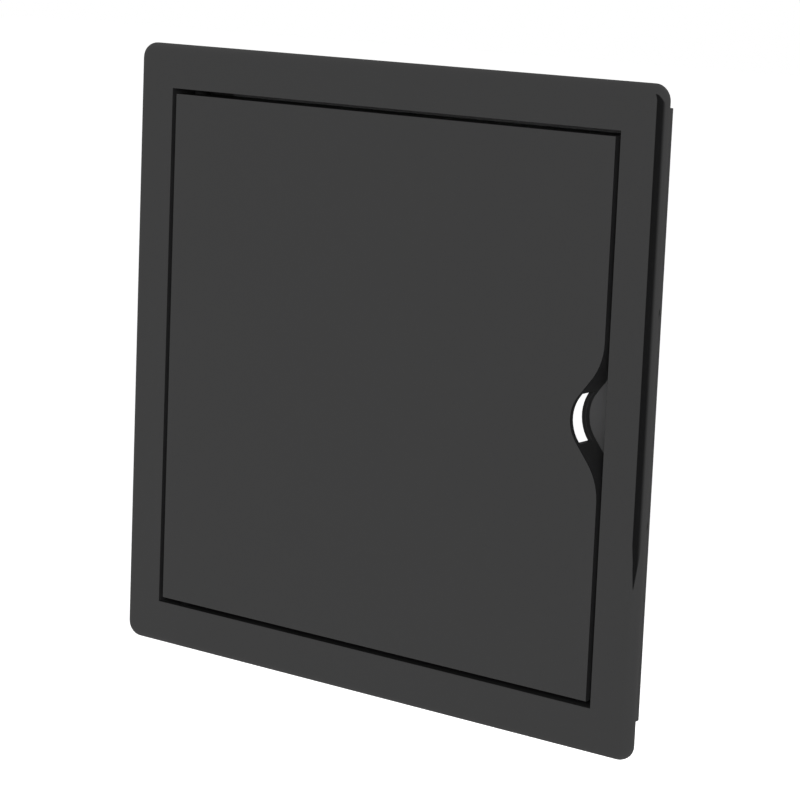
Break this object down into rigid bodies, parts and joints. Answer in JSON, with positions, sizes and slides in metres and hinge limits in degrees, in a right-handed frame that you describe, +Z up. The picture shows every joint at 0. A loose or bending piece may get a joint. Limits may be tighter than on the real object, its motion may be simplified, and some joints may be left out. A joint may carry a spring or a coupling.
{
  "type": "recessed access panel",
  "caption": "Square wall access panel: flanged frame with a mounting collar and a flush hinged leaf with a finger notch, a sprung lift-out pin and magnetic catches.",
  "frame": {"origin": "centre of the panel on the wall's surface, in the plane of the flange's back lip", "axes": "+X to the right seen from the room, +Y into the wall, +Z up"},
  "size_m": [0.218, 0.0195, 0.218],
  "materials": {
    "frame_plastic": "high gloss moulded black",
    "leaf_plastic": "high gloss moulded black",
    "small_plastic": "satin moulded black",
    "pin_steel": "drawn steel",
    "spring_steel": "bright spring wire",
    "magnet_nickel": "nickel plated",
    "strike_steel": "zinc plated sheet",
    "screw_steel": "zinc plated"
  },
  "bodies": {
    "frame": {"frame": "frame_plastic", "upper_magnet": "magnet_nickel", "lower_magnet": "magnet_nickel"},
    "leaf": {"door_leaf": "leaf_plastic", "lower_hinge_pin": "pin_steel", "hinge_pin_spring": "spring_steel", "hinge_pin_cover": "small_plastic", "upper_strike_plate": "strike_steel", "lower_strike_plate": "strike_steel", "small_screws": "screw_steel"},
    "lift_out_pin": {"upper_hinge_pin": "small_plastic"}
  },
  "joints": [
    {"name": "leaf_hinge", "type": "hinge", "parent": "frame", "child": "leaf", "pos_m": [-0.08375, 0.0015, 0], "axis": [0, 0, -1], "range_deg": [0, 115]},
    {"name": "lift_out_pin_slide", "type": "slide", "parent": "leaf", "child": "lift_out_pin", "axis": [0, 0, -1], "range_m": [0, 0.005], "stiffness_N_per_m": 400, "springref_m": -0.008, "deforming": ["hinge_pin_spring"]}
  ]
}
